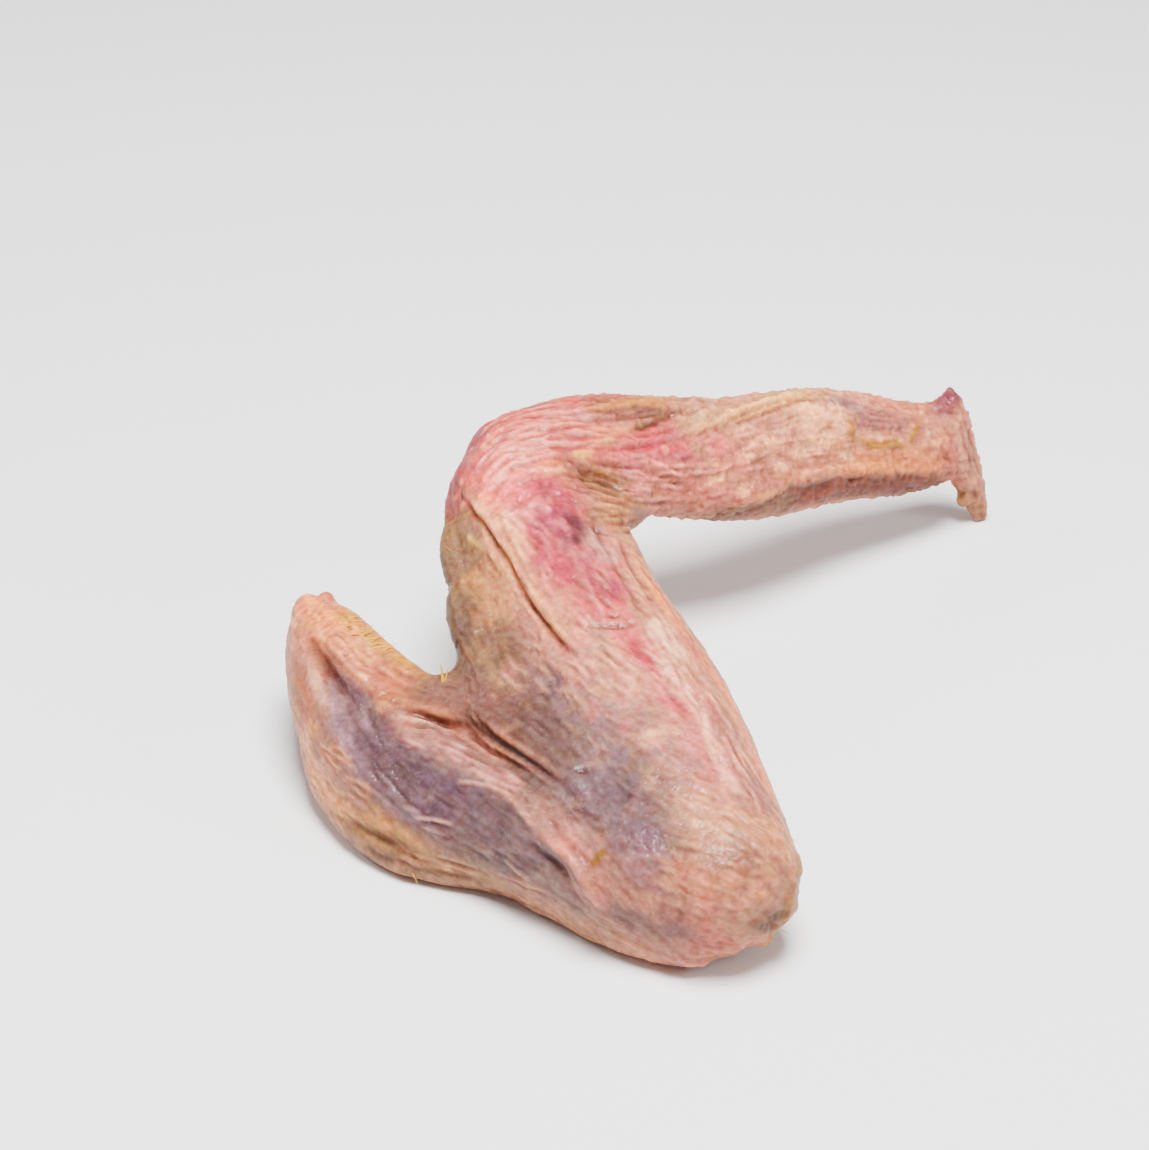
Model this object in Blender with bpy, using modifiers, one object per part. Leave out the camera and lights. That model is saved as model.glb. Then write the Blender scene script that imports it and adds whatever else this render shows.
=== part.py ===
"""A raw goose wing, plucked, and folded in a Z as it lies on a counter.

The wing is one solid. Its upper arm lies on the surface, its forearm climbs back
from the elbow to the raised wrist, and its hand comes down again to the cut tip,
whose hanging flap of skin touches the surface. A thin web of skin closes the
angle between the upper arm and the forearm.

+X is to the right, +Y away from the viewer and +Z up. The tables are in
millimetres, and MM turns them into metres where a mesh is made.
"""
import math

import bmesh
import bpy
import numpy as np
from mathutils import Matrix, Vector

NAME = "goose_wing"
MM = 0.001

# Limbs. Each station is the limb's centre, its half width, its half thickness
# and the roll of its broad face about the limb in degrees, none being level.
UPPER_ARM = (
    ((-97, 2, 33), 8, 8, 0),
    ((-93, -11, 30), 13, 14, 0),
    ((-84, -30, 24), 18, 17, 0),
    ((-70, -49, 20), 21, 18, 0),
    ((-50, -64, 19), 20, 18, 0),
    ((-26, -80, 20), 20, 19, 0),
    ((-6, -95, 21), 20, 20, 0),
    ((7, -103, 21), 17, 19, 0),
)
FOREARM = (
    ((15.5, -106.5, 22), 20, 20, 0),
    ((4, -80, 29), 24, 21, 0),
    ((-7, -50, 38), 25, 19, 0),
    ((-20, -21, 48), 22, 17, 0),
    ((-32, 6, 57), 23, 15, 0),
    ((-40, 26, 64), 21, 15, 0),
)
HAND = (
    ((-42, 27, 65), 18, 15, 15),
    ((-22, 38, 65), 19, 13, 30),
    ((-3, 48, 59), 18, 11, 42),
    ((24, 62, 50), 19, 10, 50),
    ((50, 81, 43), 18, 9, 55),
    ((74, 95, 34), 15, 8, 58),
    ((91, 104, 30), 12, 6, 60),
)

# The skin and muscle that lead from the forearm's flank down to the upper arm.
FOREARM_FLANK = (
    ((-2, -97, 29), 13, 9, 0),
    ((-18, -78, 34), 15, 9, 0),
    ((-32, -58, 38), 15, 8, 0),
    ((-43, -37, 43), 13, 7, 0),
    ((-49, -14, 50), 10, 6, 0),
)
# The fat rim along the foot of the upper arm, round the elbow's lower corner.
FAT_RIM = (
    ((-95, -22, 20), 7, 9, 0),
    ((-91, -40, 14), 8, 10, 0),
    ((-83, -56, 10), 8, 9, 0),
    ((-72, -68, 8), 8, 8, 0),
    ((-60, -74, 8), 8, 8, 0),
    ((-44, -79, 9), 8, 8, 0),
    ((-30, -88, 9), 8, 9, 0),
    ((-12, -102, 10), 9, 10, 0),
    ((5, -110, 12), 10, 11, 0),
)
# The thumb, a flat strip along the hand's leading edge.
THUMB = (
    ((-36, 38, 74), 5, 4, 30),
    ((-20, 45, 74), 6, 4.5, 35),
    ((-2, 53, 70.5), 6, 4, 40),
    ((12, 60, 66), 3.5, 3, 45),
)
# The pleated skin that closes the bend between the hand and the forearm.
BEND_SKIN = (
    ((-26, 18, 62), 11, 10, 0),
    ((-15, 24, 57), 9, 9, 20),
    ((-8, 29, 52), 5, 7, 30),
)
# The cut tip: a skin-covered knob at the top, and the flap that hangs from it.
TIP_FLAP = (
    ((90.5, 107, 47), 3.2, 3.2, 0),
    ((91, 106, 38), 5, 6, 0),
    ((93, 105.5, 28), 6, 6.5, 0),
    ((97, 106, 17), 5.5, 5.5, 0),
    ((100.5, 107, 7), 4, 4, 0),
    ((102, 107, 0), 3, 3, 0),
)

RING_POINTS = 40
RINGS_PER_SPAN = 8
DOME_RINGS = 6
OVAL_POWER = 2.3

# The web of skin in front of the elbow, from its free edge to the flesh that
# it grows from. Both lines run from the shoulder to the wrist.
WEB_EDGE = (
    (-97, 2, 39), (-88, -5, 43), (-73, -26, 43), (-62, -38, 43), (-55, -36, 44),
    (-55, -20, 48), (-61, -1, 55), (-62, 18, 60), (-57, 34, 65),
)
WEB_ROOT = (
    (-92, -14, 30), (-84, -26, 30), (-68, -46, 31), (-45, -62, 33), (-28, -62, 37),
    (-26, -36, 43), (-33, -8, 52), (-40, 12, 58), (-42, 26, 62),
)
WEB_THICKNESS = 4.5
WEB_STEPS = 48

# Relief in the skin. Each stroke is a ridge or a crease: its height, its half
# width and the points that it runs through. A minus height is a crease.
STROKES = (
    # The long hollow of the upper arm, where the dark muscle shows.
    (-3.0, 8.0, ((-90, -33, 40), (-81, -52, 37), (-69, -69, 33), (-56, -81, 29), (-39, -95, 24))),
    # The fold behind the shoulder, and the soft ridge beside it.
    (-2.4, 2.6, ((-97, -21, 41), (-92, -33, 39), (-86, -44, 38), (-79, -52, 37))),
    (1.4, 4.0, ((-92, -18, 43), (-85, -30, 41), (-76, -41, 39), (-66, -45, 38))),
    # The lip of the web over the upper arm, and the crease under the lip.
    (2.2, 3.0, ((-70, -46, 38), (-61, -49, 38), (-51, -55, 40), (-43, -67, 41), (-32, -79, 41),
                (-22, -90, 40))),
    (-3.0, 2.8, ((-76, -48, 38), (-67, -52, 38), (-56, -56, 37), (-49, -61, 38), (-39, -76, 39),
                 (-29, -86, 39))),
    # The raised seam that runs on towards the elbow, and the groove behind it.
    (1.8, 2.8, ((-41, -84, 36), (-36, -91, 33), (-30, -99, 31), (-24, -105, 29), (-17, -112, 18))),
    (-1.8, 2.8, ((-36, -86, 37), (-32, -92, 35), (-26, -99, 35), (-21, -105, 33), (-13, -113, 24))),
    # The tendon down the forearm's front edge, with the slack web beside it.
    (1.5, 2.8, ((-54, 11, 70), (-46, -3, 68), (-40, -14, 65), (-36, -25, 62), (-30, -35, 59), (-21, -52, 56))),
    (-2.0, 2.6, ((-57, 13, 67), (-50, -3, 66), (-43, -14, 64), (-39, -24, 60), (-34, -35, 57), (-24, -52, 55))),
    (1.0, 2.6, ((-58, 9, 62), (-53, -2, 61), (-48, -12, 60), (-44, -21, 56), (-39, -32, 53))),
    # The thumb's underside, and the tendon that runs out along the hand.
    (-2.4, 2.6, ((-28, 35, 78), (-14, 38, 76), (-1, 47, 72), (12, 58, 68))),
    (1.2, 2.6, ((-17, 31, 75), (-3, 45, 72), (12, 57, 69), (26, 68, 65), (43, 83, 60))),
    # The dent on the inside of the wrist.
    (-2.2, 6.0, ((-28, 24, 76), (-17, 19, 69), (-10, 22, 62))),
    # The loose fold along the hand's lower edge.
    (1.5, 2.6, ((0, 32, 55), (15, 40, 50), (30, 49, 47), (48, 64, 42), (67, 79, 35), (85, 91, 29))),
    (-1.8, 2.4, ((-1, 31, 58), (12, 40, 55), (27, 50, 52), (42, 62, 49), (61, 76, 42), (83, 91, 34))),
    # The shallow hollow of the hand's upper half.
    (-1.2, 6.0, ((24, 56, 60), (39, 67, 57), (56, 76, 48), (74, 88, 41))),
    # The row of feather roots along the forearm's back edge.
    (1.0, 3.0, ((-2, -23, 59), (5, -46, 55), (12, -65, 51), (17, -84, 47), (22, -100, 41))),
    # The line where the fat rim leaves the upper arm.
    (-2.0, 3.0, ((-97, -47, 16), (-86, -64, 14), (-72, -76, 11), (-57, -83, 10), (-41, -92, 12))),
)

SKIN_VOXEL = 1.6
SOFTEN_PASSES = 10
FINISH_PASSES = 5
FACE_BUDGET = 9000
# The surface that the wing lies on presses this much of it flat.
PRESSED_FLAT = 0.8
FLOOR_DEPTH = 30
FLOOR_SPAN = 400

SKIN_COLOUR = (0.62, 0.36, 0.29, 1.0)
SKIN_ROUGHNESS = 0.42


def clear_scene():
    for obj in list(bpy.data.objects):
        bpy.data.objects.remove(obj)


def smooth_value(rows, t):
    """A smooth curve through evenly spaced rows of values, at t from 0 to the last row."""
    last = len(rows) - 1
    k = min(int(t), last - 1)
    f = t - k
    before, low, high, after = rows[max(k - 1, 0)], rows[k], rows[k + 1], rows[min(k + 2, last)]
    slope = (high - before) * f
    bend = (2 * before - 5 * low + 4 * high - after) * f**2
    twist = (3 * low - before - 3 * high + after) * f**3
    return low + 0.5 * (slope + bend + twist)


def oval(centre, along, half_width, half_thickness, roll):
    """One ring of a limb: a rounded oval square to the limb."""
    side = along.cross(Vector((0, 0, 1))).normalized()
    side = Matrix.Rotation(math.radians(roll), 3, along) @ side
    up = side.cross(along).normalized()
    ring = []
    for i in range(RING_POINTS):
        angle = 2 * math.pi * i / RING_POINTS
        across, rise = math.cos(angle), math.sin(angle)
        x = math.copysign(abs(across) ** (2 / OVAL_POWER), across) * half_width
        y = math.copysign(abs(rise) ** (2 / OVAL_POWER), rise) * half_thickness
        ring.append(centre + side * x + up * y)
    return ring


def limb(bm, stations, dome_share=(0.7, 0.7)):
    """Lofts a limb through its stations, and closes each end with a dome.

    dome_share gives each dome's depth as a share of the end's half thickness.
    """
    rows = np.array([[*centre, width, thick, roll] for centre, width, thick, roll in stations], float)
    steps = (len(rows) - 1) * RINGS_PER_SPAN
    samples = [smooth_value(rows, k / RINGS_PER_SPAN) for k in range(steps + 1)]
    centres = [Vector(s[:3]) for s in samples]
    along = [(centres[min(k + 1, steps)] - centres[max(k - 1, 0)]).normalized() for k in range(steps + 1)]

    def dome(k, sign, share):
        _, _, _, width, thick, roll = samples[k]
        rings = []
        for j in range(1, DOME_RINGS + 1):
            angle = 0.5 * math.pi * j / (DOME_RINGS + 0.35)
            centre = centres[k] + along[k] * (sign * thick * share * math.sin(angle))
            shrink = math.cos(angle)
            rings.append(oval(centre, along[k], width * shrink, thick * shrink, roll))
        return rings

    rings = list(reversed(dome(0, -1, dome_share[0])))
    rings += [oval(centres[k], along[k], *samples[k][3:]) for k in range(steps + 1)]
    rings += dome(steps, 1, dome_share[1])
    loops = [[bm.verts.new(p * MM) for p in ring] for ring in rings]
    for low, high in zip(loops, loops[1:]):
        for i in range(RING_POINTS):
            j = (i + 1) % RING_POINTS
            bm.faces.new((low[i], low[j], high[j], high[i]))
    bm.faces.new(list(reversed(loops[0])))
    bm.faces.new(loops[-1])


def web(bm):
    """Lofts the web from its free edge to its root, and gives the sheet its thickness."""
    edge, root = np.array(WEB_EDGE, float), np.array(WEB_ROOT, float)
    last = len(edge) - 1
    rows = []
    for i in range(WEB_STEPS + 1):
        t = last * i / WEB_STEPS
        outer, inner = smooth_value(edge, t), smooth_value(root, t)
        rows.append([bm.verts.new(Vector(outer + (inner - outer) * j / WEB_STEPS) * MM)
                     for j in range(WEB_STEPS + 1)])
    faces = [bm.faces.new((a[j], a[j + 1], b[j + 1], b[j]))
             for a, b in zip(rows, rows[1:]) for j in range(WEB_STEPS)]
    bmesh.ops.recalc_face_normals(bm, faces=faces)
    half = 0.5 * WEB_THICKNESS * MM
    bm.normal_update()
    for vert in {v for f in faces for v in f.verts}:
        vert.co += vert.normal * half
    bmesh.ops.solidify(bm, geom=faces, thickness=2 * half)


def mesh_object(name, bm):
    mesh = bpy.data.meshes.new(name)
    bm.to_mesh(mesh)
    bm.free()
    obj = bpy.data.objects.new(name, mesh)
    bpy.context.scene.collection.objects.link(obj)
    return obj


def apply_modifiers(obj):
    """Turns the object's modifiers into its mesh."""
    graph = bpy.context.evaluated_depsgraph_get()
    mesh = bpy.data.meshes.new_from_object(obj.evaluated_get(graph))
    obj.modifiers.clear()
    obj.data = mesh


def close_skin(obj):
    """Draws one closed skin round everything that the object's mesh holds."""
    skin = obj.modifiers.new("skin", "REMESH")
    skin.mode = "VOXEL"
    skin.voxel_size = SKIN_VOXEL * MM
    apply_modifiers(obj)


def soften(obj, passes):
    smooth = obj.modifiers.new("soften", "SMOOTH")
    smooth.factor = 0.5
    smooth.iterations = passes
    apply_modifiers(obj)


def stroke_distance(points, line):
    """Each point's distance to a line of points, and how far along the line it falls, from 0 to 1."""
    best = np.full(len(points), np.inf)
    share = np.zeros(len(points))
    lengths = np.linalg.norm(np.diff(line, axis=0), axis=1)
    total, walked = lengths.sum(), 0.0
    for start, step, length in zip(line, np.diff(line, axis=0), lengths):
        t = np.clip((points - start) @ step / length**2, 0, 1)
        distance = np.linalg.norm(points - (start + t[:, None] * step), axis=1)
        nearer = distance < best
        best[nearer] = distance[nearer]
        share[nearer] = (walked + t[nearer] * length) / total
        walked += length
    return best, share


def press_relief(obj):
    """Moves the skin out along its ridges and in along its creases, fading at each stroke's ends."""
    mesh = obj.data
    count = len(mesh.vertices)
    flat = np.empty(count * 3)
    mesh.vertices.foreach_get("co", flat)
    points = flat.reshape(-1, 3) / MM
    mesh.vertex_normals.foreach_get("vector", flat)
    normals = flat.reshape(-1, 3)
    shift = np.zeros(count)
    for height, half_width, line in STROKES:
        rows = np.array(line, float)
        fine = np.array([smooth_value(rows, t) for t in np.linspace(0, len(rows) - 1, 6 * len(rows))])
        distance, share = stroke_distance(points, fine)
        fade = np.sin(np.pi * np.clip(share, 0.0, 1.0)) ** 0.5
        shift += height * fade * np.exp(-(distance / half_width) ** 2)
    moved = (points + normals * shift[:, None]) * MM
    mesh.vertices.foreach_set("co", moved.ravel())
    mesh.update()


def thin_out(obj):
    """Brings the skin down to its budget of faces."""
    triangles = sum(len(p.vertices) - 2 for p in obj.data.polygons)
    decimate = obj.modifiers.new("thin", "DECIMATE")
    decimate.ratio = FACE_BUDGET / triangles
    apply_modifiers(obj)


def stand_on_floor(obj):
    """Cuts the solid off level where it lies on the surface, and puts the origin under its middle."""
    bm = bmesh.new()
    bmesh.ops.create_cube(bm, size=1.0)
    bmesh.ops.scale(bm, verts=bm.verts, vec=(FLOOR_SPAN * MM, FLOOR_SPAN * MM, FLOOR_DEPTH * MM))
    bmesh.ops.translate(bm, verts=bm.verts, vec=(0, 0, (PRESSED_FLAT - 0.5 * FLOOR_DEPTH) * MM))
    floor = mesh_object("floor_cutter", bm)
    cut = obj.modifiers.new("floor", "BOOLEAN")
    cut.operation = "DIFFERENCE"
    cut.object = floor
    apply_modifiers(obj)
    bpy.data.objects.remove(floor)
    corners = [Vector(c) for c in obj.bound_box]
    low = Vector([min(c[i] for c in corners) for i in range(3)])
    high = Vector([max(c[i] for c in corners) for i in range(3)])
    middle = (low + high) / 2
    obj.data.transform(Matrix.Translation((-middle.x, -middle.y, -low.z)))


def skin_material():
    material = bpy.data.materials.new("raw_goose_skin")
    material.use_nodes = True
    shader = material.node_tree.nodes["Principled BSDF"]
    shader.inputs["Base Color"].default_value = SKIN_COLOUR
    shader.inputs["Roughness"].default_value = SKIN_ROUGHNESS
    shader.inputs["Metallic"].default_value = 0.0
    return material


def build():
    clear_scene()
    bm = bmesh.new()
    limb(bm, UPPER_ARM)
    limb(bm, FOREARM, dome_share=(0.75, 0.8))
    limb(bm, HAND, dome_share=(0.8, 0.4))
    for stations in (FOREARM_FLANK, FAT_RIM, THUMB, BEND_SKIN, TIP_FLAP):
        limb(bm, stations)
    web(bm)
    bmesh.ops.recalc_face_normals(bm, faces=bm.faces)
    wing = mesh_object(NAME, bm)
    close_skin(wing)
    soften(wing, SOFTEN_PASSES)
    press_relief(wing)
    close_skin(wing)
    soften(wing, FINISH_PASSES)
    thin_out(wing)
    stand_on_floor(wing)
    wing.data.materials.append(skin_material())
    group = bpy.data.collections.new(NAME)
    bpy.context.scene.collection.children.link(group)
    bpy.context.scene.collection.objects.unlink(wing)
    group.objects.link(wing)
    return wing


wing = build()
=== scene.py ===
"""A raw goose wing on a pale counter, dressed over its solid.

The solid gives the limbs their places. Here it gets a finer skin, on which every
fold, crease, vein and stain is laid at its place in the picture, and then the
pimples, the wet gloss and the stubs of the plucked feathers.
"""
import math

import bmesh
import bpy
import numpy as np
from mathutils import Matrix, Vector
from mathutils.bvhtree import BVHTree


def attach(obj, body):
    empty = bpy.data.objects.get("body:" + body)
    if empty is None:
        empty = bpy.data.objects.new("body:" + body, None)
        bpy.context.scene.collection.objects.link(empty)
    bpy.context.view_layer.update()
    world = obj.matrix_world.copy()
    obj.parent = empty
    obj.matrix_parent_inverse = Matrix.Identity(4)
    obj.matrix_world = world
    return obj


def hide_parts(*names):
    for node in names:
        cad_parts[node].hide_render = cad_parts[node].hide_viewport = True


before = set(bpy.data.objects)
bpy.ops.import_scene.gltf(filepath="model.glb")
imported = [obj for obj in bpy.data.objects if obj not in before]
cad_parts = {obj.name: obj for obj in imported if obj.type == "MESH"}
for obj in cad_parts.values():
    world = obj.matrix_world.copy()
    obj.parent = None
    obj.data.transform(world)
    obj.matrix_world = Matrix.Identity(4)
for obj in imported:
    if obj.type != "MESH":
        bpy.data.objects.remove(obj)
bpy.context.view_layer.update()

# The view. The wing is looked at from the front, 33 degrees above the counter,
# by a long lens about a metre away. The picture is 1149 wide and 1150 high.
PICTURE_WIDTH, PICTURE_HEIGHT = 1149, 1150
LENS_PIXELS = 3571.0
ELEVATION = math.radians(33.0)
LOOKED_AT = Vector((-0.0237, 0.0356, 0.0292))
DISTANCE = 1.033

look = Vector((0, math.cos(ELEVATION), -math.sin(ELEVATION)))
rise_in_view = Vector((0, math.sin(ELEVATION), math.cos(ELEVATION)))
eye = LOOKED_AT - look * DISTANCE

camera_data = bpy.data.cameras.new("view")
camera_data.sensor_width = 36.0
camera_data.lens = 36.0 * LENS_PIXELS / PICTURE_HEIGHT
camera_data.clip_start = 0.05
camera = bpy.data.objects.new("view", camera_data)
camera.location = eye
camera.rotation_euler = look.to_track_quat("-Z", "Y").to_euler()
bpy.context.scene.collection.objects.link(camera)
bpy.context.scene.camera = camera

# The counter: a smooth pale sheet with a dull finish, wide enough to fill the view
# from any side.
counter_mesh = bpy.data.meshes.new("counter")
bm = bmesh.new()
bmesh.ops.create_grid(bm, x_segments=1, y_segments=1, size=3.0)
bm.to_mesh(counter_mesh)
bm.free()
counter = bpy.data.objects.new("counter", counter_mesh)
bpy.context.scene.collection.objects.link(counter)
counter_white = bpy.data.materials.new("counter_white")
counter_white.use_nodes = True
counter_shader = counter_white.node_tree.nodes["Principled BSDF"]
counter_shader.inputs["Base Color"].default_value = (0.86, 0.86, 0.855, 1)
counter_shader.inputs["Roughness"].default_value = 0.6
counter_mesh.materials.append(counter_white)

# The light: a white tent all round, a big soft panel above the wing, and a small
# low one on either side, the right one brighter, that models the relief.
sky = bpy.data.worlds.new("white_tent")
sky.use_nodes = True
sky.node_tree.nodes["Background"].inputs["Color"].default_value = (1.0, 0.99, 0.98, 1)
sky.node_tree.nodes["Background"].inputs["Strength"].default_value = 0.34
bpy.context.scene.world = sky


def soft_panel(name, place, aim, size, watts):
    light = bpy.data.lights.new(name, "AREA")
    light.size = size
    light.energy = watts
    panel = bpy.data.objects.new(name, light)
    panel.location = place
    panel.rotation_euler = (Vector(aim) - Vector(place)).to_track_quat("-Z", "Y").to_euler()
    bpy.context.scene.collection.objects.link(panel)


soft_panel("panel_above", (0.05, -0.25, 1.15), (0, 0, 0.03), 0.45, 50.0)
soft_panel("panel_right", (0.95, -0.35, 0.6), (0, 0, 0.03), 0.3, 5.0)
soft_panel("panel_left", (-0.95, 0.25, 0.75), (0, 0, 0.03), 0.25, 4.0)

# The flesh and its skin. A copy of the solid is closed up with a skin of small
# faces and smoothed, coarser on the sides turned away. All the folds and colours
# below are laid on this smooth skin, in millimetres.
SKIN_FACE = 0.0007
SKIN_SMOOTHING = 26
SKIN_TRIANGLES = 196000
FACES_AWAY = 0.12

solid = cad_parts["goose_wing"]
bm = bmesh.new()
bm.from_mesh(solid.data)
bmesh.ops.remove_doubles(bm, verts=bm.verts, dist=1e-5)
skin_mesh = bpy.data.meshes.new("wing_skin")
bm.to_mesh(skin_mesh)
bm.free()
skin = bpy.data.objects.new("wing_skin", skin_mesh)
bpy.context.scene.collection.objects.link(skin)


def settle(kind, **settings):
    """Applies one modifier to the skin for good."""
    change = skin.modifiers.new(kind.lower(), kind)
    for name, value in settings.items():
        setattr(change, name, value)
    done = bpy.data.meshes.new_from_object(skin.evaluated_get(bpy.context.evaluated_depsgraph_get()))
    skin.modifiers.clear()
    skin.data = done


settle("REMESH", mode="VOXEL", voxel_size=SKIN_FACE)
settle("SMOOTH", factor=0.5, iterations=SKIN_SMOOTHING)
turned_away = skin.vertex_groups.new(name="turned_away")
for vertex in skin.data.vertices:
    if vertex.normal.dot(look) > FACES_AWAY:
        turned_away.add([vertex.index], 1.0, "REPLACE")
settle("DECIMATE", ratio=SKIN_TRIANGLES / (2 * len(skin.data.polygons)), vertex_group="turned_away")
skin.vertex_groups.clear()
skin_mesh = skin.data
skin_mesh.name = "wing_skin"

count = len(skin_mesh.vertices)
flat = np.empty(count * 3)
skin_mesh.vertices.foreach_get("co", flat)
places = flat.reshape(-1, 3) * 1000
skin_mesh.vertex_normals.foreach_get("vector", flat)
outward = flat.reshape(-1, 3)
raised = np.zeros(count)
touch = BVHTree.FromPolygons([v.co for v in skin_mesh.vertices], [p.vertices for p in skin_mesh.polygons])


def on_skin(across, down):
    """The point of the skin that shows at a place in the picture, or next to it, in millimetres."""
    ray = look + Vector((1, 0, 0)) * ((across - PICTURE_WIDTH / 2) / LENS_PIXELS)
    ray += rise_in_view * ((PICTURE_HEIGHT / 2 - down) / LENS_PIXELS)
    ray.normalize()
    point = touch.ray_cast(eye, ray)[0]
    if point is not None:
        return np.array(point) * 1000
    away = places - np.array(eye) * 1000
    aside = away - (away @ np.array(ray))[:, None] * np.array(ray)
    return places[np.argmin(np.linalg.norm(aside, axis=1))]


LIGHT_HERE = np.array((2.85, 3.1, 3.1))
WASHES_OUT_ABOVE = 0.2
STRONGER, BRIGHTER = 3.4, 2.3


def shade(red, green, blue):
    """A colour as it looks in the picture, 0 to 255, as the paint that gives it under this light.

    Bright colours wash out under a strong light, so their paint is laid on stronger.
    """
    light = np.array([((c / 255 + 0.055) / 1.055) ** 2.4 for c in (red, green, blue)])
    grey = light.mean()
    washed_out = max(grey - WASHES_OUT_ABOVE, 0)
    coloured = grey + (1 + STRONGER * washed_out) * (light - grey)
    return np.clip(coloured * (1 + BRIGHTER * washed_out) / LIGHT_HERE, 0.004, 0.9)


TURNED = np.array(Matrix.Rotation(0.9, 3, (0.4, 0.7, 0.6)))


def jumble(points, seed=0):
    """Smooth random values from about -1 to 1 in space, that change about once a unit."""
    points = points @ TURNED
    cell = np.floor(points).astype(np.int64)
    part = points - cell
    fade = part * part * part * (part * (part * 6 - 15) + 10)
    total = np.zeros(len(points))
    for corner in np.ndindex(2, 2, 2):
        at = cell + corner
        h = (at[:, 0] * 73856093) ^ (at[:, 1] * 19349663) ^ (at[:, 2] * 83492791) ^ (seed * 7919 + 17)
        h = (h ^ (h >> 13)) * 1274126177 & 0xFFFFFFFF
        h ^= h >> 15
        slope = np.stack([h & 255, h >> 8 & 255, h >> 16 & 255], axis=1) / 127.5 - 1
        weight = np.prod(np.where(corner, fade, 1 - fade), axis=1)
        total += weight * np.sum(slope * (part - corner), axis=1)
    return total * 1.9


def line_on_skin(picture_points, spacing=1.2):
    """A smooth line over the skin through places in the picture, with a point every few millimetres."""
    rows = np.array([on_skin(*p) for p in picture_points])
    if len(rows) == 1:
        return rows
    line = []
    for k in range(len(rows) - 1):
        before, low, high, after = rows[max(k - 1, 0)], rows[k], rows[k + 1], rows[min(k + 2, len(rows) - 1)]
        steps = max(2, int(np.linalg.norm(high - low) / spacing))
        for f in np.arange(steps) / steps:
            line.append(low + 0.5 * ((high - before) * f + (2 * before - 5 * low + 4 * high - after) * f**2
                                     + (3 * low - before - 3 * high + after) * f**3))
    line.append(rows[-1])
    return np.array(line)


def beside(line, reach):
    """The skin near a line: which points, how far off, on which side (left is plus), and how far along."""
    inside = np.all((places > line.min(0) - reach) & (places < line.max(0) + reach), axis=1)
    index = np.nonzero(inside)[0]
    spot = places[index]
    best = np.full(len(index), 1e9)
    side = np.zeros(len(index))
    share = np.zeros(len(index))
    if len(line) == 1:
        best = np.linalg.norm(spot - line[0], axis=1)
    for k in range(len(line) - 1):
        step = line[k + 1] - line[k]
        length = max(np.linalg.norm(step), 1e-6)
        t = np.clip((spot - line[k]) @ step / length**2, 0, 1)
        away = spot - (line[k] + t[:, None] * step)
        distance = np.linalg.norm(away, axis=1)
        nearer = distance < best
        best[nearer] = distance[nearer]
        leftward = np.cross(outward[index], step / length)
        side[nearer] = np.sum(away * leftward, axis=1)[nearer]
        share[nearer] = (k + t[nearer]) / (len(line) - 1)
    keep = best < reach
    return index[keep], best[keep], side[keep], share[keep]


# The grain of the skin. Fine wrinkles and streaks run along these lines, and turn
# from one to the next between them. The sides that don't show go with the limbs.
GRAIN = (
    [(300, 610), (318, 680), (350, 760), (400, 822)],
    [(340, 690), (385, 765), (450, 820), (540, 880), (610, 925)],
    [(312, 604), (350, 640), (395, 685), (436, 700)],
    [(395, 728), (470, 765), (550, 812), (596, 880), (640, 925)],
    [(448, 560), (462, 650), (520, 716), (590, 790), (640, 860)],
    [(470, 540), (500, 610), (545, 680), (600, 760)],
    [(512, 566), (570, 610), (640, 650), (690, 690)],
    [(530, 640), (600, 690), (680, 740), (740, 790)],
    [(570, 720), (640, 775), (720, 820), (780, 860)],
    [(600, 820), (670, 855), (740, 880), (796, 900)],
    [(652, 604), (694, 680), (738, 766), (790, 850)],
    [(452, 500), (466, 450), (510, 415), (580, 403), (660, 398)],
    [(470, 490), (500, 448), (560, 436), (640, 438), (700, 420)],
    [(484, 520), (520, 486), (570, 466), (620, 466)],
    [(510, 500), (545, 540), (575, 590), (600, 620)],
    [(570, 500), (596, 540), (628, 590), (650, 630)],
    [(588, 500), (620, 506), (645, 512)],
    [(620, 460), (680, 474), (740, 478), (800, 468), (860, 456), (940, 458)],
    [(690, 436), (760, 412), (820, 400), (880, 404), (940, 408)],
    [(650, 506), (720, 512), (800, 494), (880, 482), (944, 482)],
    [(958, 412), (970, 450), (982, 505)],
)
LIMB_LINES = (
    ((-96, 6, 32), (-83, -24, 24), (-69, -43, 20), (-49, -58, 19), (-25, -74, 20), (8, -97, 21)),
    ((16, -101, 22), (5, -74, 29), (-6, -44, 38), (-19, -15, 48), (-31, 12, 57), (-39, 32, 64)),
    ((-41, 33, 65), (-2, 54, 59), (25, 68, 50), (51, 87, 43), (75, 101, 34), (92, 110, 30)),
)
LIMB_HALVES = (0, 19, 6)
guides = []
for number, picture_points in enumerate(GRAIN):
    line = line_on_skin(picture_points, 5.0)
    index, distance, side, share = beside(line, 30.0)
    length = np.linalg.norm(np.diff(line, axis=0), axis=1).sum()
    guides.append((index, share * length, side, np.exp(-((distance + 0.5) / 8.5) ** 1.5), number))
limb_share = []
for number, middles in enumerate(LIMB_LINES):
    line = np.array(middles, float)
    index, distance, side, share = beside(line, 400.0)
    length = np.linalg.norm(np.diff(line, axis=0), axis=1).sum()
    away = np.exp(-(distance - LIMB_HALVES[number]) / 4.0)
    limb_share.append(away)
    weight = 0.002 * away / (0.02 + away)
    guides.append((index, share * length, np.arctan2(side, 8.0) * 14, weight, 40 + number))
hand = limb_share[2] / np.sum(limb_share, axis=0)


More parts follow.
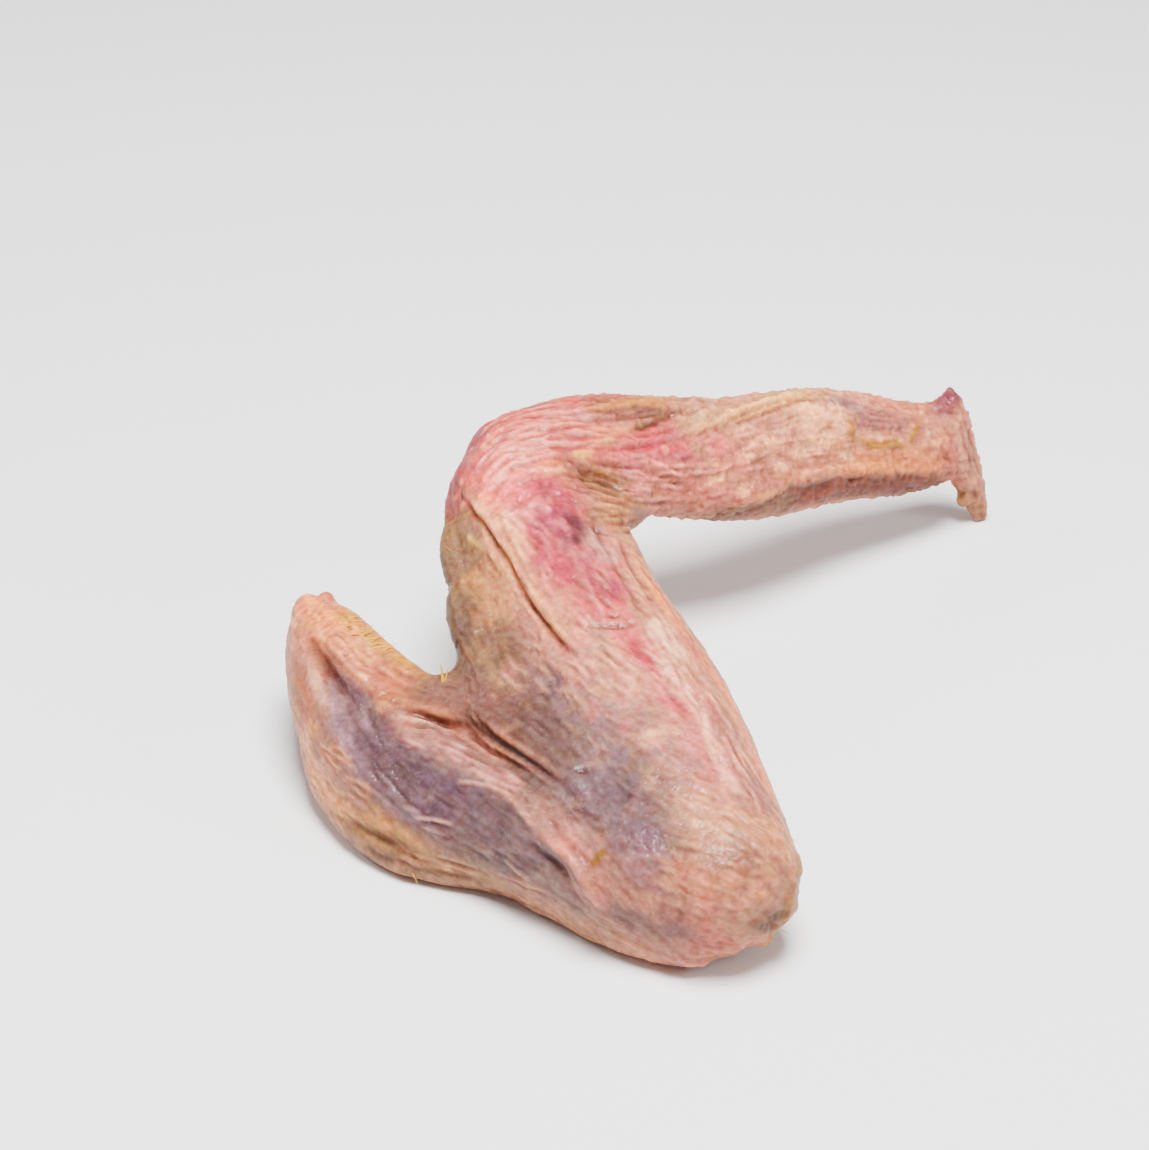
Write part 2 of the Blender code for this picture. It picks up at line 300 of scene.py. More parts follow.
def grain(long, wide, seed):
    """Random values from about -1 to 1 that run in streaks along the grain."""
    total, weights = np.zeros(count), np.full(count, 1e-9)
    for index, along, across, weight, number in guides:
        spot = np.stack([along / long, across / wide, np.full(len(index), number * 7.3)], axis=1)
        bend = jumble(np.stack([along / (wide * 4), across / (wide * 4), spot[:, 2]], axis=1), seed + 50)
        spot[:, 1] += 0.8 * bend
        total[index] += weight * jumble(spot, seed)
        weights[index] += weight ** 2
    return total / np.sqrt(weights)


wrinkles = grain(9.0, 1.9, 21)
streaks = grain(5.0, 0.95, 22)
fibres = np.clip(0.6 * grain(14.0, 3.2, 28) + 0.5 * wrinkles, -1, 1)

bent = places + 1.6 * np.stack([jumble(places / 4, seed) for seed in (33, 34, 35)], axis=1)

# All of the skin starts as pale goose skin, thin and plucked, over fat. It is a little
# pinker in some patches and tanner in others.
PALE_SKIN = shade(210, 166, 148)
PINK_SKIN = shade(210, 150, 140)
TAN_SKIN = shade(194, 150, 122)
patches = jumble(places / 16, 3) * 0.6 + jumble(places / 7, 4) * 0.4
tone = PALE_SKIN + np.clip(patches * 1.6, 0, 1)[:, None] * (PINK_SKIN - PALE_SKIN) * 0.7
tone = tone + np.clip(-patches * 1.6, 0, 1)[:, None] * (TAN_SKIN - tone) * 0.6


def fold(height, width, picture_points, colour=None, strength=0.6, ends=0.8):
    """Raises the skin along a line, or sinks it with a minus height, and may colour it.

    width is the half width in millimetres, or (left, right) for a lip that is steep on one side.
    The colour is as it looks in the picture, as in the functions that follow.
    """
    left, right = width if isinstance(width, tuple) else (width, width)
    line = line_on_skin(picture_points)
    index, distance, side, share = beside(line, 3 * max(left, right))
    across = np.where(side > 0, left, right)
    fade = np.clip(np.sin(np.pi * np.clip(share, 0.0, 1.0)), 0, 1) ** ends if len(line) > 1 else 1.0
    amount = np.exp(-(distance / across) ** 2) * fade
    raised[index] += height * amount
    if colour is not None:
        mask = np.clip(amount * strength, 0, 1)[:, None]
        tone[index] += mask * (shade(*colour) - tone[index])


def stain(colour, strength, radius, picture_points, ragged=0.5, seed=1):
    """Colours the skin round a place or along a line, and fades out along the fibres of the skin."""
    line = line_on_skin(picture_points, 3.0)
    index, distance, _, _ = beside(line, radius * 2.2)
    uneven = jumble(places[index] / (radius * 0.5), seed) * 0.5 + fibres[index] * 0.7
    reach = distance / (radius * (1 + ragged * uneven))
    mask = np.clip((1.5 - reach) / 1.3, 0, 1)
    mask = (mask * mask * (3 - 2 * mask) * strength)[:, None]
    tone[index] += mask * (shade(*colour) - tone[index])


def part_way(points, steps):
    """The place that lies so many steps along a line of places, or one for each of several numbers."""
    return np.stack([np.interp(steps, np.arange(len(points)), points[:, k]) for k in (0, 1)], axis=-1)


def pleats(height, width, number, spread, picture_points, ridge, crease, seed=1, length=0.75, strength=0.6):
    """A bundle of fine wrinkles side by side: ridges of one colour, and creases of another beside them."""
    chance = np.random.default_rng(seed)
    points = np.array(picture_points, float)
    way = np.gradient(points, axis=0)
    across = np.stack([-way[:, 1], way[:, 0]], axis=1) / np.linalg.norm(way, axis=1)[:, None]
    for place in (np.arange(number) + 0.5) / number - 0.5:
        offset = spread * (place + chance.normal(0, 0.3 / number))
        long = length * chance.uniform(0.7, 1.2)
        start = chance.uniform(0, max(1 - long, 0.01))
        share = np.linspace(start, min(start + long, 1), 5) * (len(points) - 1)
        line = part_way(points + across * offset, share)
        line += chance.normal(0, 1.0, line.shape)
        beside_it = part_way(across, share)
        tall = height * chance.uniform(0.6, 1.25)
        fold(tall, width, line, ridge, strength)
        fold(-0.8 * tall, width, line + beside_it * width * 4.6, crease, strength)


def freckles(number, radius, spread, picture_points, colours, seed):
    """Small uneven patches of several colours, strewn along a line, as raw skin is mottled."""
    chance = np.random.default_rng(seed)
    points = np.array(picture_points, float)
    for k in range(number):
        place = chance.uniform(0, len(points) - 1)
        spot = part_way(points, place)
        spot += chance.normal(0, spread, 2)
        stain(colours[k % len(colours)], chance.uniform(0.3, 0.75), radius * chance.uniform(0.5, 1.3),
              [spot, spot + chance.normal(0, 5, 2)], 0.9, k)


# The upper arm: the shoulder's cut end at the top, a dark muscle that shows
# through the thin skin of its long hollow, and the fat rim that it lies on.
GREY_MUSCLE = (130, 95, 97)
VIOLET_MUSCLE = (134, 103, 116)
BROWN_SHADOW = (128, 80, 66)
PALE_PINK = (200, 156, 146)
WHITE_RIDGE = (238, 210, 200)
RIM_TAN = (182, 142, 112)
RIM_ORANGE = (210, 158, 136)

stain((216, 152, 134), 0.8, 14, [(330, 630), (390, 690), (440, 712)])
stain((242, 186, 160), 0.85, 6, [(310, 606), (330, 624), (356, 652)])
stain((208, 120, 110), 0.7, 2.4, [(322, 594), (330, 598)])
stain((206, 140, 112), 0.7, 6, [(386, 682), (402, 696), (430, 708)])
stain((214, 170, 116), 0.8, 3.5, [(346, 616), (364, 636), (386, 650), (434, 684)])
stain((182, 128, 114), 0.9, 9, [(388, 730), (450, 752), (500, 778), (550, 806)])
stain(GREY_MUSCLE, 0.95, 11, [(338, 676), (362, 730), (384, 775)])
stain(GREY_MUSCLE, 1.0, 15, [(384, 760), (430, 800), (480, 830)])
stain(VIOLET_MUSCLE, 0.9, 9, [(420, 790), (455, 802), (500, 815), (520, 835)])
stain((160, 124, 114), 0.9, 13, [(490, 840), (530, 860), (575, 890)])
# Painted highlight: a pale grey-blue band of light along the lower edge of the hollow.
stain((186, 158, 164), 0.65, 2.8, [(336, 700), (347, 742), (368, 776), (392, 800), (412, 814)])
stain(PALE_PINK, 0.8, 4.5, [(404, 722), (452, 748), (500, 772), (545, 796)])
stain((116, 82, 86), 0.7, 6, [(366, 730), (388, 768), (410, 790)])
stain((150, 112, 112), 0.6, 4, [(352, 690), (360, 706)])
stain(PALE_PINK, 0.8, 4, [(545, 800), (575, 835), (590, 870)])
stain((224, 178, 166), 0.7, 4, [(546, 812), (566, 838), (586, 866)])
stain(RIM_ORANGE, 0.85, 8, [(303, 690), (305, 750), (335, 800), (372, 825)])
stain((240, 198, 176), 0.8, 5, [(304, 736), (316, 770), (336, 796)])
stain((204, 160, 104), 0.8, 6, [(370, 828), (396, 844), (420, 860)])
stain(RIM_TAN, 0.9, 8, [(350, 835), (385, 856), (430, 868), (480, 880)])
stain((190, 146, 118), 0.7, 6, [(480, 884), (540, 910), (600, 935)])

freckles(30, 1.6, 9, [(318, 618), (360, 660), (410, 700)],
         ((244, 204, 184), (210, 140, 122), (216, 168, 136), (204, 130, 110)), 61)
freckles(26, 1.6, 7, [(302, 700), (318, 770), (352, 818)],
         ((240, 198, 170), (200, 138, 100), (220, 164, 150), (186, 124, 88)), 62)
freckles(24, 1.8, 7, [(380, 850), (460, 880), (560, 915)],
         ((196, 162, 134), (146, 104, 82), (210, 170, 146)), 63)
freckles(36, 1.8, 9, [(350, 700), (400, 780), (500, 835), (560, 880)],
         ((148, 116, 124), (114, 84, 92), (134, 100, 102), (164, 132, 130)), 64)
fold(-1.6, 1.6, [(309, 636), (318, 652), (330, 672), (345, 694), (358, 712)], BROWN_SHADOW, 0.7)
fold(1.0, 2.6, [(318, 620), (338, 648), (360, 676), (385, 694)], (232, 182, 162), 0.5)
fold(0.9, 1.8, [(300, 640), (304, 660), (318, 690), (330, 716)], WHITE_RIDGE, 0.4)
fold(0.5, 0.6, [(456, 782), (476, 783), (496, 790), (510, 800)], WHITE_RIDGE, 0.55)
fold(0.9, (1.4, 0.7), [(494, 790), (514, 802), (525, 817), (540, 834)], (226, 180, 166))
fold(1.4, (2.4, 0.8), [(536, 830), (555, 847), (571, 861), (581, 880), (594, 900), (612, 917)],
     (238, 180, 168), 0.8)
fold(-0.8, 1.4, [(545, 822), (562, 838), (578, 855), (590, 876), (604, 898)], (160, 112, 104), 0.5)
# Painted shadow under the lip of the forearm's edge, on the side of the hollow.
fold(-1.0, 1.3, [(526, 838), (545, 856), (562, 870), (573, 890), (588, 908)], (120, 78, 74), 0.7)
fold(0.35, 0.5, [(412, 817), (434, 820), (455, 825)], WHITE_RIDGE, 0.55)
fold(-0.4, 0.5, [(416, 821), (436, 824), (452, 829)], (84, 60, 58), 0.55)
fold(0.3, 0.5, [(420, 827), (436, 831), (450, 838)], (214, 186, 182), 0.45)
fold(0.3, 0.5, [(402, 806), (416, 811), (430, 813)], (196, 164, 160), 0.4)
fold(0.5, 0.7, [(503, 858), (512, 867), (522, 875), (540, 887)], (216, 184, 170))
fold(-0.5, 1.2, [(510, 852), (524, 864), (540, 872)], (120, 84, 76))
# Painted highlight: a faint pale line along the edge of the hollow.
fold(0.25, 0.7, [(376, 770), (388, 786), (402, 800)], (170, 142, 142), 0.4)
fold(0.9, 1.6, [(343, 808), (371, 821), (393, 830), (414, 845), (428, 861)], (220, 172, 136), 0.55)
fold(-0.7, 1.2, [(352, 822), (376, 836), (400, 848), (416, 862)], (150, 104, 76), 0.5)
fold(-0.6, 1.1, [(364, 845), (384, 858), (404, 862)], (132, 92, 64))
pleats(0.17, 0.5, 15, 78, [(298, 764), (314, 776), (334, 792)], (240, 204, 184), (196, 124, 92), 2, 0.6, 0.55)
pleats(0.22, 0.6, 9, 60, [(330, 800), (346, 806), (362, 818)], (236, 200, 176), (190, 130, 90), 29, 0.8, 0.5)
for spot in ((304, 668), (311, 690), (302, 712), (316, 730), (322, 752), (334, 772), (342, 790), (352, 801)):
    stain((206, 120, 76), 0.6, 0.9, [spot], 0.5, spot[0])
# Painted highlight: a faint pale line along the edge of the hollow.
fold(0.2, 0.7, [(350, 742), (366, 770), (384, 794), (402, 811)], (176, 144, 146), 0.35)
pleats(0.3, 0.6, 14, 36, [(316, 610), (350, 646), (388, 682), (432, 702)],
        (240, 198, 180), (190, 112, 92), 3, 0.25)
pleats(0.3, 0.6, 9, 70, [(318, 640), (334, 626), (346, 612)], (242, 196, 176), (196, 120, 102), 30, 0.5, 0.45)
pleats(0.18, 0.65, 18, 46, [(344, 694), (380, 756), (430, 803), (500, 848), (566, 890)],
       (160, 126, 130), (96, 66, 72), 4, 0.25, 0.5)
pleats(0.28, 0.65, 14, 22, [(400, 728), (450, 752), (505, 780), (548, 806)],
        (232, 196, 186), (158, 98, 88), 5, 0.25)
pleats(0.28, 0.65, 10, 28, [(380, 846), (440, 868), (500, 886), (580, 918)],
        (212, 170, 146), (118, 74, 58), 6, 0.3, 0.55)
stain((250, 212, 188), 0.55, 3.5, [(354, 646), (364, 658)], 0.9)
stain((204, 138, 106), 0.6, 5, [(388, 690), (410, 700)], 0.8)
stain((204, 138, 110), 0.5, 4, [(298, 690), (301, 712)], 0.8)
stain((116, 90, 102), 0.45, 5, [(478, 812), (502, 826)], 0.8)
fold(2.0, 4.0, [(303, 600)])
fold(1.8, 3.5, [(322, 597), (330, 600)])
fold(1.5, (1.5, 2.4), [(404, 718), (422, 724), (440, 731), (458, 734)])

# The web of skin: a thin sheet, tan where it is stretched to its free edge, that
# falls over the upper arm in a doubled lip with a deep brown shadow under it.
WEB_TAN = (172, 128, 98)
WEB_BROWN = (134, 84, 68)
WEB_VIOLET = (148, 112, 114)

fold(2.6, 6.0, [(452, 520), (452, 560), (456, 600), (462, 640)], None, 0, 0.8)
stain((176, 136, 92), 1.0, 13, [(452, 530), (455, 580), (464, 620)])
stain((154, 110, 84), 1.0, 15, [(468, 640), (490, 680), (520, 700)])
stain(WEB_TAN, 0.8, 8, [(470, 540), (490, 590), (505, 630)])
stain((170, 118, 94), 0.95, 8, [(430, 696), (450, 702), (480, 706)])
stain((138, 96, 84), 1.0, 14, [(500, 716), (540, 740), (580, 780)])
stain(WEB_BROWN, 0.9, 8, [(488, 722), (520, 735), (545, 752)])
stain((156, 118, 110), 0.8, 12, [(560, 700), (590, 750), (620, 800)])
stain(WEB_VIOLET, 0.8, 4, [(516, 596), (524, 620), (530, 640)])
stain(WEB_VIOLET, 0.8, 6, [(540, 650), (556, 686), (562, 716)])
stain(WEB_VIOLET, 0.6, 4, [(500, 615), (510, 640)])
stain((212, 176, 130), 0.6, 3, [(476, 578), (484, 600), (494, 622)])
stain((132, 98, 74), 0.85, 9, [(480, 612), (492, 650)])
stain((100, 70, 62), 0.75, 9, [(526, 712), (556, 745)])
stain((212, 178, 150), 0.6, 2.4, [(478, 648), (488, 668), (500, 682)], 0.8)
stain((206, 156, 130), 0.6, 5, [(484, 576), (500, 604)])
stain((170, 112, 96), 0.6, 7, [(444, 700), (478, 700), (506, 716)])
pleats(0.25, 0.65, 12, 44, [(458, 556), (474, 620), (500, 684)], (208, 164, 130), (128, 86, 64), 7, 0.35, 0.5)
pleats(0.22, 0.65, 16, 44, [(468, 692), (512, 722), (560, 768), (608, 830)],
        (176, 134, 122), (98, 60, 52), 8, 0.25, 0.5)

freckles(30, 2.0, 14, [(462, 560), (486, 620), (510, 700), (560, 760)],
         ((200, 164, 132), (142, 108, 106), (176, 134, 94), (190, 140, 120), (148, 106, 82)), 65)
fold(-1.1, 0.8, [(410, 713), (422, 716), (436, 722), (452, 727), (463, 724)], BROWN_SHADOW, 0.85)
fold(-0.9, 0.7, [(402, 722), (418, 728), (432, 730), (448, 738)], (150, 100, 88), 0.7)
fold(0.5, 0.7, [(396, 716), (414, 722), (430, 726), (446, 731)], (238, 204, 190))
fold(1.0, (1.8, 0.9), [(400, 704), (420, 709), (440, 715), (456, 718), (464, 713)], (214, 150, 128))
fold(-1.0, 0.7, [(463, 726), (474, 738), (490, 750), (511, 761), (532, 774)], BROWN_SHADOW, 0.8)
fold(-1.2, 0.8, [(480, 724), (496, 739), (516, 753), (538, 768), (562, 786)], BROWN_SHADOW, 0.85)
fold(0.7, 0.8, [(472, 727), (486, 741), (503, 752), (524, 764), (542, 777)], (206, 148, 130), 0.85)
fold(0.8, 0.9, [(486, 722), (503, 736), (522, 748), (544, 763), (566, 780)], (220, 166, 150), 0.7)
fold(0.6, 0.7, [(460, 732), (474, 745), (492, 757), (512, 767)], (220, 168, 152))
fold(-1.0, 2.0, [(556, 782), (575, 800), (596, 826), (610, 846)], (136, 98, 88), 0.55)

# The forearm: the tendon along its front edge, the bruised skin near the wrist,
# beige skin over muscle, and the row of feather roots along its back edge.
BRUISE_PINK = (224, 128, 132)
BRUISE_CRIMSON = (210, 92, 106)
BRUISE_MAGENTA = (186, 96, 122)
BRUISE_DARK = (134, 66, 72)
BEIGE = (206, 160, 148)
GREY_BLUE = (148, 117, 118)

stain(BEIGE, 0.6, 16, [(600, 660), (660, 740), (720, 830)], 0.8)
stain((160, 124, 118), 0.85, 15, [(590, 740), (620, 780), (650, 830)])
stain(GREY_BLUE, 0.9, 10, [(604, 776), (632, 806), (654, 836)])
stain(GREY_BLUE, 0.7, 8, [(640, 840), (660, 880)])
stain((164, 118, 108), 0.8, 10, [(590, 890), (640, 912), (670, 930)])
stain((212, 160, 146), 0.6, 9, [(600, 890), (640, 912), (690, 936)])
stain((216, 172, 146), 0.7, 9, [(690, 800), (730, 836), (780, 842)])
stain((186, 140, 140), 0.6, 8, [(640, 850), (664, 884)])
stain((176, 124, 98), 0.8, 8, [(740, 858), (770, 874)])
stain((218, 158, 142), 0.7, 7, [(690, 880), (720, 896)])
stain((206, 128, 114), 0.85, 6, [(694, 926), (718, 944)])
stain((160, 114, 106), 0.8, 5, [(620, 914), (652, 926), (680, 932)])
stain(BRUISE_PINK, 0.9, 11, [(550, 500), (570, 545), (596, 590)])
stain(BRUISE_CRIMSON, 0.6, 6, [(538, 488), (556, 500), (574, 516)])
stain((200, 84, 110), 0.8, 3, [(548, 510), (566, 526)])
stain(BRUISE_CRIMSON, 0.8, 4, [(532, 528), (540, 548), (548, 562)])
stain(BRUISE_CRIMSON, 0.8, 5, [(556, 562), (580, 578), (608, 598)])
stain(BRUISE_MAGENTA, 0.8, 3, [(606, 582), (614, 588)])
stain(BRUISE_MAGENTA, 0.7, 3.5, [(548, 516), (562, 530)])
stain(BRUISE_DARK, 0.95, 2.4, [(570, 515), (582, 527)])
stain(BRUISE_DARK, 0.95, 1.8, [(564, 535), (578, 540)])
stain((92, 46, 46), 0.9, 1.5, [(576, 526), (586, 534)])
# Painted highlight: grey-beige glints beside the dark hollow of the bruise.
stain((206, 176, 172), 0.75, 3, [(596, 542), (604, 556)])
stain((240, 202, 184), 0.7, 4, [(492, 500), (506, 524), (520, 552)])
stain((226, 176, 160), 0.6, 8, [(520, 600), (560, 636), (600, 660)])
stain(BRUISE_PINK, 0.7, 5, [(604, 606), (626, 632), (644, 652)])
stain(BRUISE_CRIMSON, 0.85, 2.2, [(636, 645), (648, 662), (660, 676)])
stain(BRUISE_CRIMSON, 0.85, 2.2, [(674, 704), (684, 711)])
stain((206, 116, 112), 0.7, 1.8, [(709, 704), (716, 722)])
stain((218, 150, 146), 0.7, 5, [(664, 690), (692, 730), (716, 780)])
stain((182, 124, 116), 0.7, 6, [(720, 720), (744, 770), (760, 800)])
stain((168, 130, 136), 0.6, 5, [(566, 706), (590, 716)])
stain((170, 130, 128), 0.5, 6, [(640, 740), (676, 780)])
stain((176, 140, 96), 0.6, 4, [(586, 734), (602, 752)])
# A pale ridge by the back edge, with a painted highlight along it.
stain((244, 216, 202), 0.7, 3.5, [(656, 628), (672, 650)])
stain((236, 200, 188), 0.6, 2.2, [(664, 662), (681, 690), (699, 716), (712, 738), (720, 762), (733, 788)],
      0.6)
stain((228, 168, 146), 0.7, 3, [(655, 588), (690, 640), (730, 700), (752, 750), (770, 790)])
stain((186, 134, 50), 0.95, 1.3, [(594, 863), (602, 853)])
for nudge in (0, 7, 13):
    fold(0.25, 0.6, [(622 + nudge, 830 - nudge), (627 + nudge, 806 - nudge), (634 + nudge, 790 - nudge)],
         (206, 156, 146))

freckles(76, 2.2, 26, [(560, 640), (640, 740), (730, 840)],
         ((224, 186, 168), (182, 142, 134), (214, 154, 148), (194, 156, 124)), 66)
freckles(36, 1.5, 12, [(520, 486), (560, 530), (600, 590)],
         ((246, 190, 188), (196, 84, 106), (228, 152, 152), (180, 96, 122)), 67)
fold(-1.3, 1.0, [(457, 492), (468, 506), (486, 529), (497, 546), (508, 562), (518, 582), (533, 608),
                 (546, 626), (563, 646), (578, 656)], (138, 84, 62), 0.85, 0.35)
fold(0.8, (1.0, 2.2), [(462, 487), (474, 502), (492, 526), (504, 546), (516, 562), (526, 580), (541, 606),
                       (555, 624), (573, 642)], (232, 190, 168), 0.55)
fold(-0.8, 1.1, [(471, 543), (482, 552), (490, 562), (500, 574), (508, 588)], (160, 112, 78), 0.7)
fold(0.5, 0.8, [(468, 536), (478, 545), (488, 556)], (232, 202, 168))
fold(0.5, 0.9, [(484, 475), (489, 491)], WHITE_RIDGE)
fold(0.5, 0.9, [(493, 475), (502, 489)], WHITE_RIDGE)
fold(0.6, 0.9, [(478, 490), (484, 505), (490, 520)], (236, 206, 180), 0.7)
fold(0.6, 0.9, [(471, 497), (480, 510), (489, 523)], (236, 206, 180))
fold(-0.8, 1.0, [(586, 625), (606, 627), (624, 626), (640, 623)], (168, 106, 80), 0.8)
fold(-0.5, 0.8, [(603, 616), (612, 617), (621, 614)], (176, 90, 90), 0.7)
fold(-0.5, 0.8, [(646, 594), (650, 598), (655, 601)], (160, 80, 76), 0.7)
fold(0.3, 0.6, [(573, 768), (584, 765), (596, 766)], (220, 190, 176), 0.4)
fold(-0.5, 0.8, [(572, 772), (584, 771), (597, 771)], (128, 92, 78))
fold(0.7, 1.8, [(650, 640), (672, 672), (690, 704), (706, 730), (716, 752)])
fold(0.7, 1.4, [(632, 548), (642, 574), (660, 600), (678, 628)], (236, 164, 132), 0.7)

pleats(0.24, 0.65, 22, 52, [(508, 498), (545, 536), (575, 585), (604, 625)],
        (246, 190, 188), (176, 66, 88), 9, 0.16, 0.4)
pleats(0.17, 0.6, 46, 190, [(556, 596), (616, 650), (682, 704)],
        (232, 196, 178), (158, 106, 98), 10, 0.2, 0.45)
pleats(0.12, 0.65, 22, 90, [(640, 780), (700, 820), (770, 850)],
        (210, 170, 150), (160, 118, 106), 11, 0.25, 0.35)
stain((140, 108, 112), 0.6, 10, [(612, 780), (646, 824)])
stain((160, 126, 134), 0.5, 5, [(590, 740), (612, 760)])
pleats(0.2, 0.65, 14, 30, [(478, 490), (500, 545), (530, 600), (570, 650)],
        (238, 198, 176), (184, 122, 100), 12, 0.35, 0.5)
pleats(0.25, 0.65, 12, 24, [(646, 600), (690, 672), (732, 752), (766, 812)],
        (246, 212, 198), (196, 110, 104), 13, 0.2, 0.5)

stain((136, 100, 76), 0.6, 9, [(480, 612), (494, 656)], 0.4)
stain((124, 92, 78), 0.3, 9, [(520, 712), (540, 730), (560, 756)], 0.4)
stain((166, 132, 134), 0.6, 4, [(340, 686), (352, 704), (360, 722)])
stain((156, 120, 84), 0.5, 5, [(450, 560), (454, 584), (458, 606)], 0.4)
stain((196, 120, 92), 0.5, 5, [(299, 660), (299, 692), (304, 716)], 0.6)
stain((206, 128, 112), 0.4, 5, [(344, 644), (366, 664), (384, 682)], 0.8)
stain((184, 130, 108), 0.4, 12, [(690, 890), (740, 884), (780, 888)], 0.6)
stain((112, 80, 72), 0.45, 8, [(536, 716), (556, 744)], 0.8)
stain((206, 108, 120), 0.7, 2.2, [(672, 700), (686, 712)], 0.8)
stain((210, 116, 124), 0.6, 2.0, [(690, 640), (696, 654)], 0.9)
stain((216, 170, 138), 0.5, 6, [(484, 574), (500, 606)], 0.8)
stain((206, 164, 160), 0.5, 2.6, [(568, 546), (584, 556)], 0.9)
stain(BRUISE_CRIMSON, 0.5, 3, [(594, 586), (608, 594)], 0.9)

# The elbow's end: soft knobbly skin over the joint, cut off at a rim of yellow fat
# with a brown rough spot in it.
FAT_YELLOW = (192, 142, 70)
stain((152, 98, 54), 0.9, 5.0, [(764, 924), (784, 914)])
stain((132, 72, 28), 0.9, 2.0, [(766, 928), (774, 920)])
stain((140, 80, 34), 0.8, 1.6, [(780, 928), (784, 918)])
stain((188, 140, 92), 0.85, 3.0, [(799, 862), (796, 896), (786, 934)])
stain(FAT_YELLOW, 0.85, 1.6, [(797, 872), (792, 888)])
stain(FAT_YELLOW, 0.8, 1.6, [(788, 896), (786, 910)])
stain(FAT_YELLOW, 0.7, 1.4, [(776, 940), (768, 946)])
freckles(40, 2.2, 16, [(640, 900), (700, 900), (770, 880)],
         ((226, 174, 156), (196, 138, 116), (184, 118, 106), (214, 170, 146)), 68)
fold(-1.6, 1.4, [(768, 922), (774, 930), (771, 938)], (132, 72, 28), 0.8)
fold(1.1, 2.0, [(790, 872), (794, 890), (789, 912), (781, 934)])
stain((206, 156, 84), 0.9, 2.6, [(800, 856), (800, 880), (793, 906), (786, 936), (774, 950)])
fold(-0.6, 1.2, [(677, 907), (681, 915), (680, 923)], (150, 104, 84))
for nudge in (0, 11, 24, 36):
    drop = nudge / 9
    fold(-0.4, 1.2, [(690 + nudge, 936 - drop), (695 + nudge, 946 - drop), (700 + nudge, 955 - drop)],
         (196, 116, 100))

pleats(0.18, 0.65, 14, 70, [(650, 862), (710, 880), (775, 886)],
        (222, 182, 160), (160, 104, 90), 14, 0.2, 0.4)

for place, height in (((800, 866), 0.8), ((799, 888), -0.8), ((794, 908), 1.0), ((784, 930), -0.9),
                      ((770, 948), 1.2), ((752, 958), -0.9), ((734, 960), 0.6), ((706, 968), 1.2),
                      ((690, 962), 0.7)):
    fold(height, 3.0, [place])

# The wrist: skin bunched over the joint in long parallel creases, and a pleated
# hollow on its inside where the hand folds back, its brown darkened with painted shade.
WRIST_PINK = (240, 144, 144)
WRIST_RED = (196, 98, 102)
HOLLOW_SHADE_BROWN = (132, 90, 74)

stain(WRIST_PINK, 0.85, 14, [(500, 440), (540, 445), (580, 450)])
stain(WRIST_PINK, 0.7, 8, [(480, 465), (500, 490)])
stain(WRIST_RED, 0.85, 7, [(452, 500), (456, 475), (470, 450), (490, 425)])
stain((218, 126, 124), 0.8, 7, [(504, 416), (540, 406), (620, 402)])
stain((176, 128, 104), 0.8, 9, [(574, 470), (600, 480), (636, 494)])
# Painted shade in the hollow on the inside of the wrist, over its brown skin.
stain(HOLLOW_SHADE_BROWN, 0.9, 4, [(584, 474), (600, 482), (622, 490)])
stain((92, 60, 48), 0.9, 1.8, [(588, 478), (606, 487)])
stain((100, 70, 54), 0.9, 2.0, [(618, 494), (636, 498)])
stain((150, 118, 120), 0.85, 2.6, [(630, 472), (648, 478)])
stain((152, 92, 92), 0.8, 2.4, [(592, 410), (614, 410)])
stain((190, 140, 106), 0.8, 3, [(626, 408), (660, 404), (694, 404)])
stain((196, 104, 108), 0.8, 4, [(448, 492), (454, 470), (466, 448)])
stain((246, 190, 182), 0.7, 6, [(500, 474), (524, 466)])
stain((206, 104, 112), 0.6, 3, [(478, 452), (492, 444), (512, 440)])
stain((214, 120, 122), 0.6, 4, [(530, 446), (556, 442), (580, 436)])
stain((188, 138, 112), 0.85, 6, [(598, 516), (618, 520), (636, 528)])
stain((234, 198, 164), 0.6, 1.8, [(578, 453), (588, 453)], 0.9)
freckles(50, 1.3, 12, [(470, 490), (500, 440), (600, 420)],
         ((242, 184, 172), (210, 118, 118), (228, 154, 138)), 69)
fold(-1.8, 2.2, [(578, 473), (598, 481), (622, 491)])
# Painted shade along the creases of the hollow.
fold(-1.0, 0.8, [(580, 468), (604, 475), (630, 482)], (100, 66, 54), 0.8)
fold(-1.0, 0.8, [(576, 484), (598, 494), (620, 503)], (116, 70, 54), 0.8)
fold(-0.9, 0.8, [(590, 463), (612, 466), (636, 469)], (150, 84, 76), 0.8)
fold(-0.8, 0.8, [(594, 450), (620, 449), (644, 447), (670, 441), (692, 433)], (164, 84, 72), 0.8)
fold(0.9, 1.0, [(594, 446), (620, 444), (644, 442), (670, 436), (694, 428)], (226, 182, 152))
fold(-0.7, 0.8, [(600, 534), (612, 560), (628, 588), (644, 614)], (170, 96, 88), 0.7)
fold(-0.6, 0.8, [(616, 530), (626, 556), (640, 584)], (176, 104, 86), 0.7)
fold(-0.8, 0.9, [(590, 520), (598, 532), (604, 546)], (110, 62, 62), 0.7)
fold(-0.8, 0.9, [(612, 437), (632, 436), (652, 433), (680, 428)], (150, 96, 70), 0.8)
fold(0.6, 0.9, [(600, 442), (625, 442), (650, 438)], (240, 214, 186), 0.7)
fold(-0.5, 0.8, [(520, 436), (536, 432), (554, 430), (575, 430)], (196, 120, 104))
fold(0.5, 0.9, [(536, 462), (552, 461), (565, 465)], (238, 170, 146), 0.8)
fold(0.5, 1.2, [(539, 470), (552, 470), (565, 468)], (240, 206, 184), 0.8)
fold(-0.6, 0.9, [(586, 406), (600, 402), (616, 401)], (150, 88, 74))
fold(-0.5, 0.9, [(570, 418), (588, 420), (606, 421)], (160, 100, 84), 0.5)
